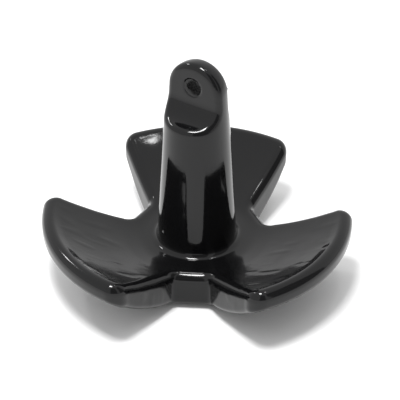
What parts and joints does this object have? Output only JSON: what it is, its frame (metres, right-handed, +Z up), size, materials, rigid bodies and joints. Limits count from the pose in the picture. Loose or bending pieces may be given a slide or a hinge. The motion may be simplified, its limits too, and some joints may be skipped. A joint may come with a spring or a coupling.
{
  "type": "boat anchor",
  "caption": "River anchor for a small boat: tapered post with a flattened eye on a notched saucer crown of curved flukes, dipped in glossy black vinyl.",
  "frame": {"origin": "on the shank's axis, in the plane of the flat underside that the anchor stands on", "axes": "+Z up along the shank, +Y along the middle of the rear fluke, +X to the right with the front notch facing -Y"},
  "size_m": [0.264, 0.2483, 0.2055],
  "materials": {
    "vinyl": "glossy black dip-moulded vinyl",
    "iron": "bare as-cast grey iron"
  },
  "bodies": {
    "root": {"vinyl_coat": "vinyl", "iron_shank": "iron", "iron_hub": "iron", "iron_fluke_rear": "iron", "iron_fluke_left": "iron", "iron_fluke_right": "iron"}
  },
  "joints": []
}
